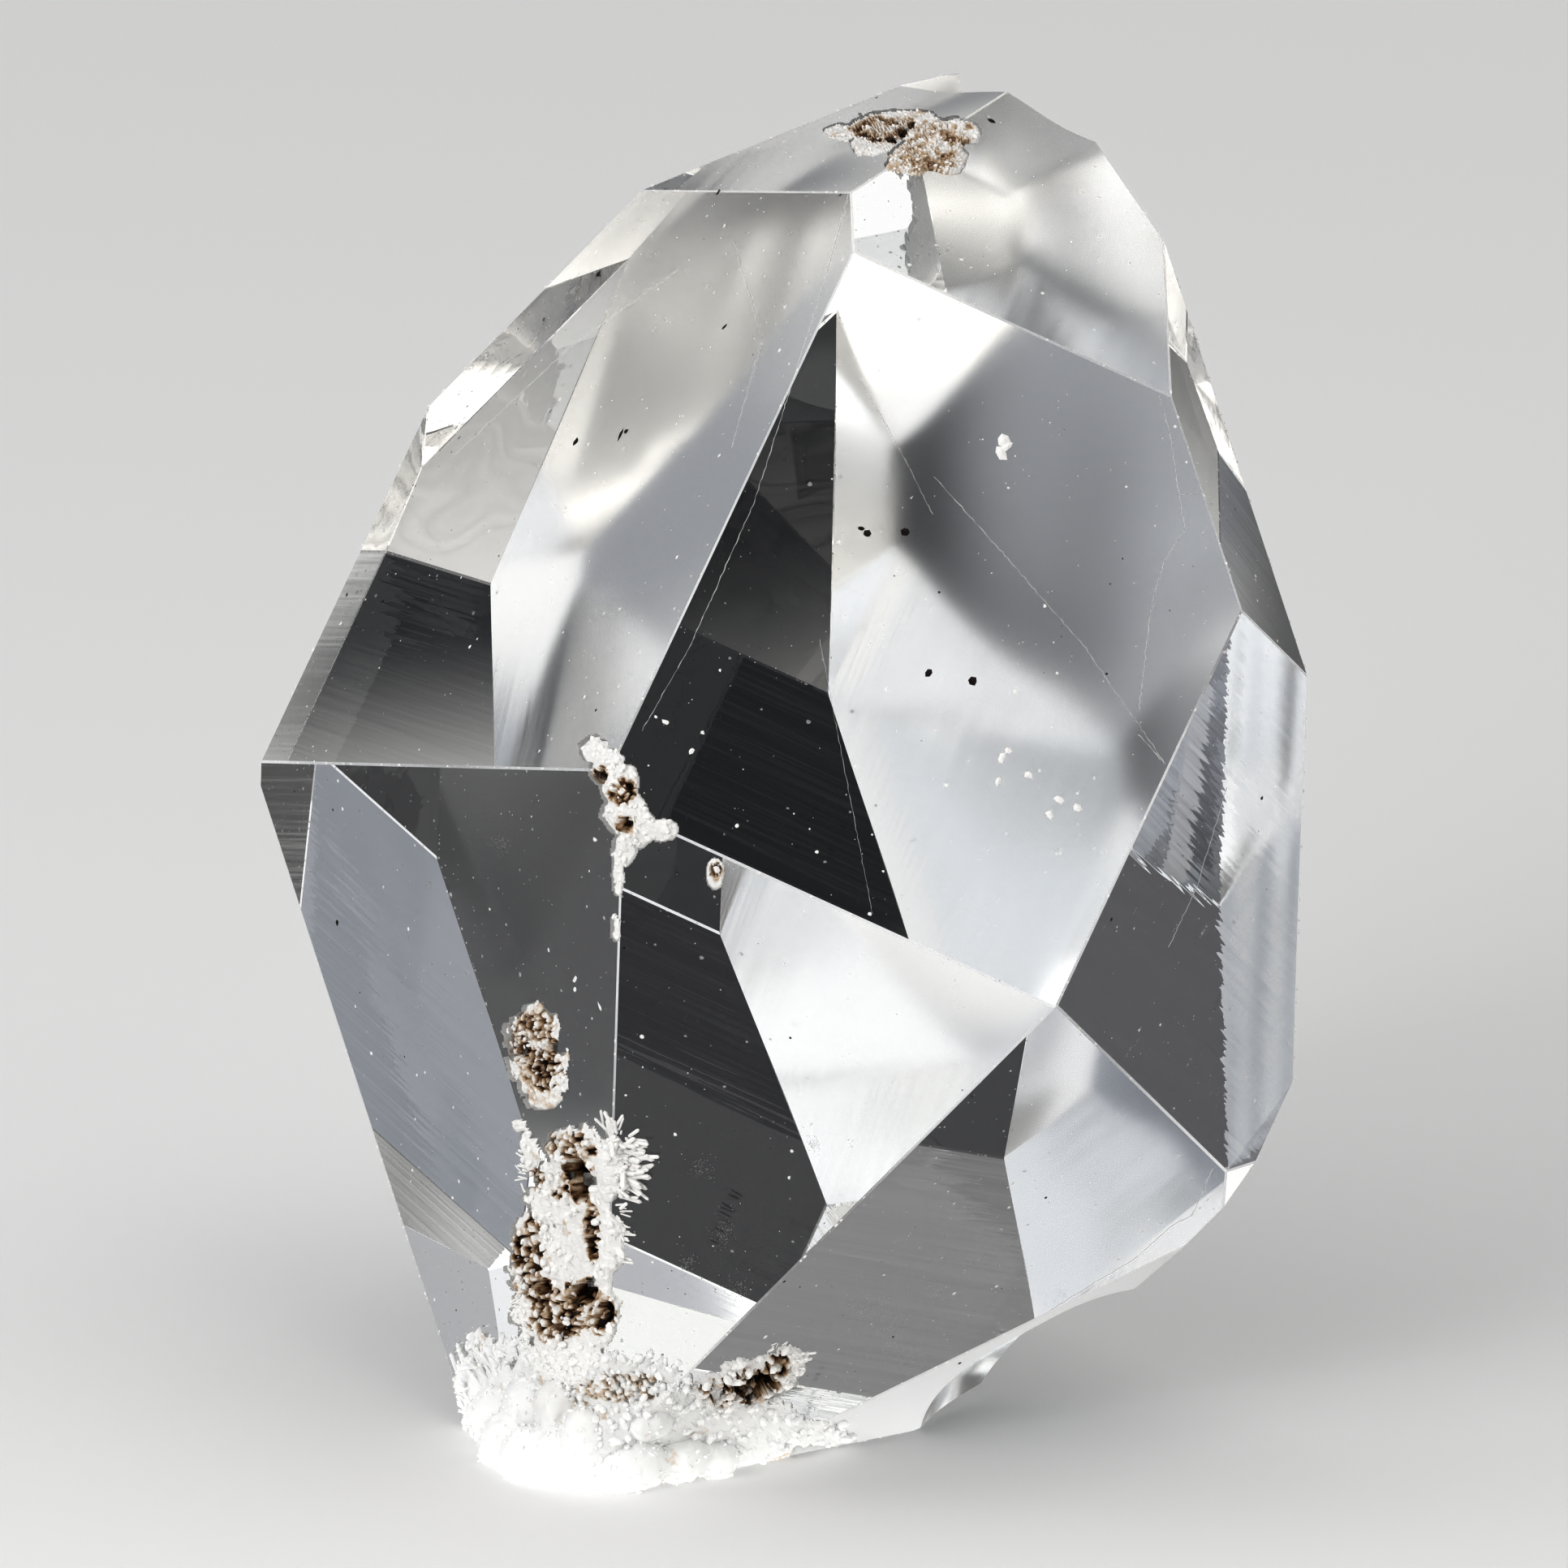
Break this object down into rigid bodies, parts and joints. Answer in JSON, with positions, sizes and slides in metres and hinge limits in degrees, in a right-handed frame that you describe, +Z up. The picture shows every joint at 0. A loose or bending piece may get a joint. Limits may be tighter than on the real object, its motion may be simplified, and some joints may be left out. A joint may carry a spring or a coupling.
{
  "type": "herkimer diamond",
  "caption": "Clear double-ended quartz crystal with flat mirror faces, a broken upper point, a shell-shaped chip and rough crusted patches at its foot.",
  "frame": {"origin": "under the middle of the crystal's box, on the surface that its small flat spot rests on", "axes": "+Z up from the flat spot, +X to the right and -Y towards the side with the largest prism face"},
  "size_m": [0.0164, 0.0186, 0.0206],
  "materials": {
    "quartz": "clear and polished by growth, with milky frosting at the foot and a dull chipped lower corner"
  },
  "bodies": {
    "root": {"crystal": "quartz"}
  },
  "joints": []
}
